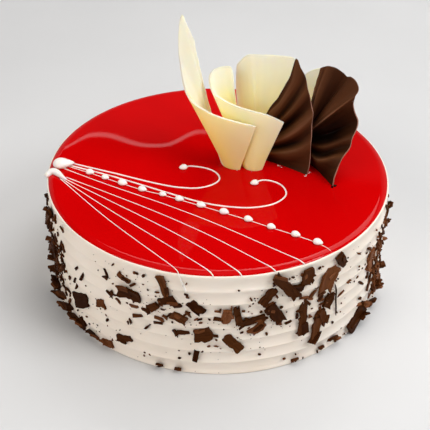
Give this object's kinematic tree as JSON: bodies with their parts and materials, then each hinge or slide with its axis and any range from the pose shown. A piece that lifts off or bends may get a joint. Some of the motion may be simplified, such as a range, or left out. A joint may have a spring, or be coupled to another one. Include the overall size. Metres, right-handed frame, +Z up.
{
  "type": "strawberry cake",
  "caption": "Round cream cake with a combed side, a red mirror glaze with piped scrolls, standing white and dark chocolate curls and fans, and chocolate shavings on the side.",
  "frame": {"origin": "middle of the flat underside, on the cake's round axis", "axes": "+Z up through the middle of the cake, -Y towards the front, +X to the right as seen from the front"},
  "size_m": [0.2164, 0.2141, 0.1671],
  "materials": {
    "cream": "soft whipped cream, satin",
    "red_glaze": "mirror glaze, wet gloss",
    "white_chocolate": "tempered white chocolate, satin",
    "dark_chocolate": "tempered dark chocolate, satin"
  },
  "bodies": {
    "root": {"cake_body": "cream", "glaze": "red_glaze", "white_curl_tall": "white_chocolate", "white_curl_short": "white_chocolate", "white_fan": "white_chocolate", "white_fan_back": "white_chocolate", "dark_fan_left": "dark_chocolate", "dark_fan_right": "dark_chocolate"}
  },
  "joints": []
}
